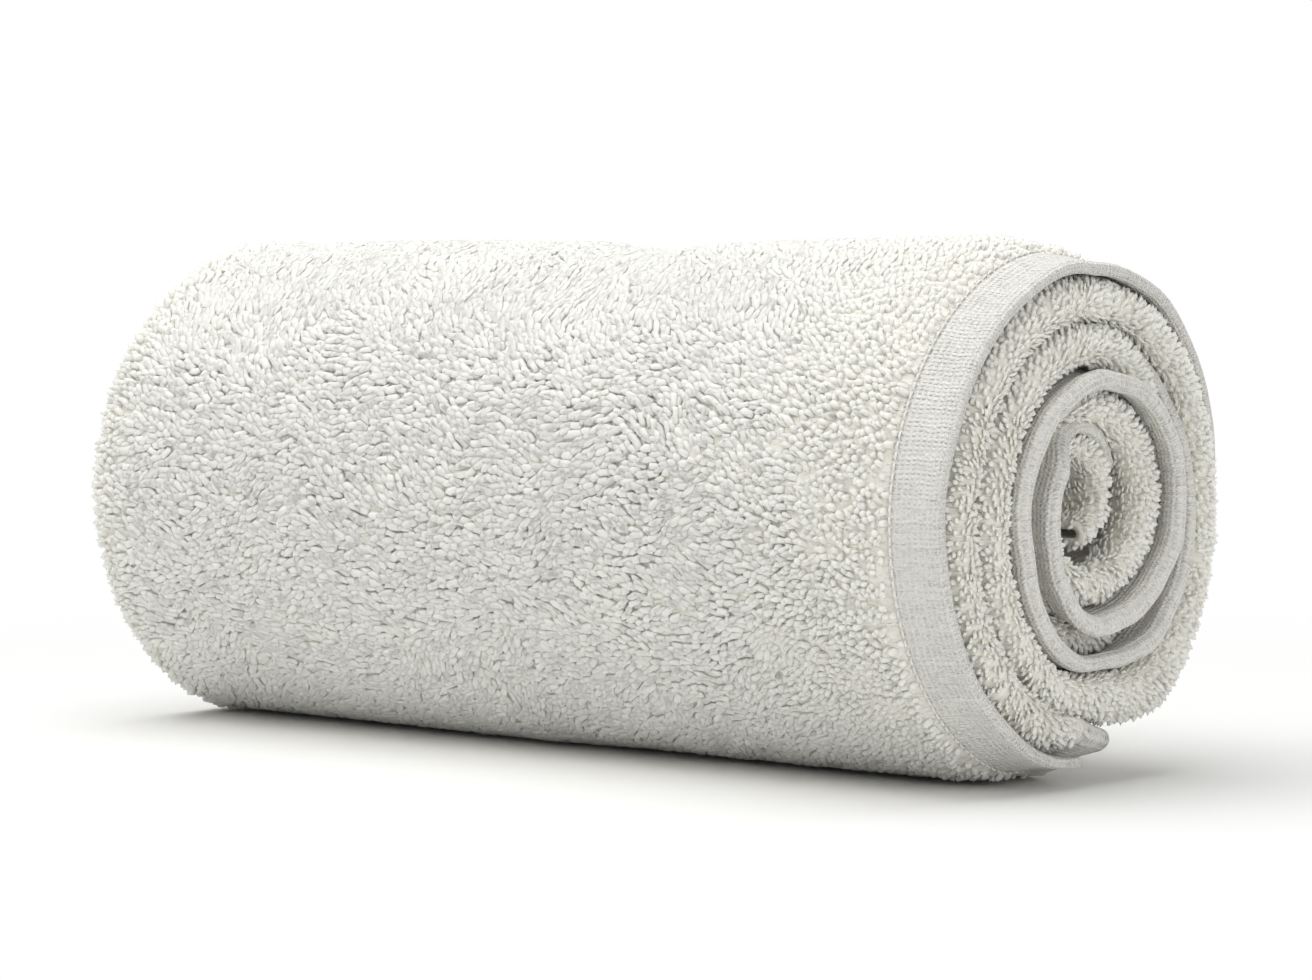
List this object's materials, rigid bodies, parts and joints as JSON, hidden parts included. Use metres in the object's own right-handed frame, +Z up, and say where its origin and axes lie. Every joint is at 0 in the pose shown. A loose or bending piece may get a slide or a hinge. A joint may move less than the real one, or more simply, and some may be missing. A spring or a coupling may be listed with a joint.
{
  "type": "rolled bath towel",
  "caption": "White terry bath towel folded in three lengthways and wound into a roll, with a flat side hem and its spiral of hems and folds at one end.",
  "frame": {"origin": "on the surface the roll lies on, under the middle of its box", "axes": "+X along the roll, towards the end with the side hem; +Y across it; +Z up"},
  "size_m": [0.342, 0.1486, 0.1546],
  "materials": {
    "cotton_terry": "white cotton terry with a flat woven hem"
  },
  "bodies": {
    "root": {"towel_roll": "cotton_terry"}
  },
  "joints": []
}
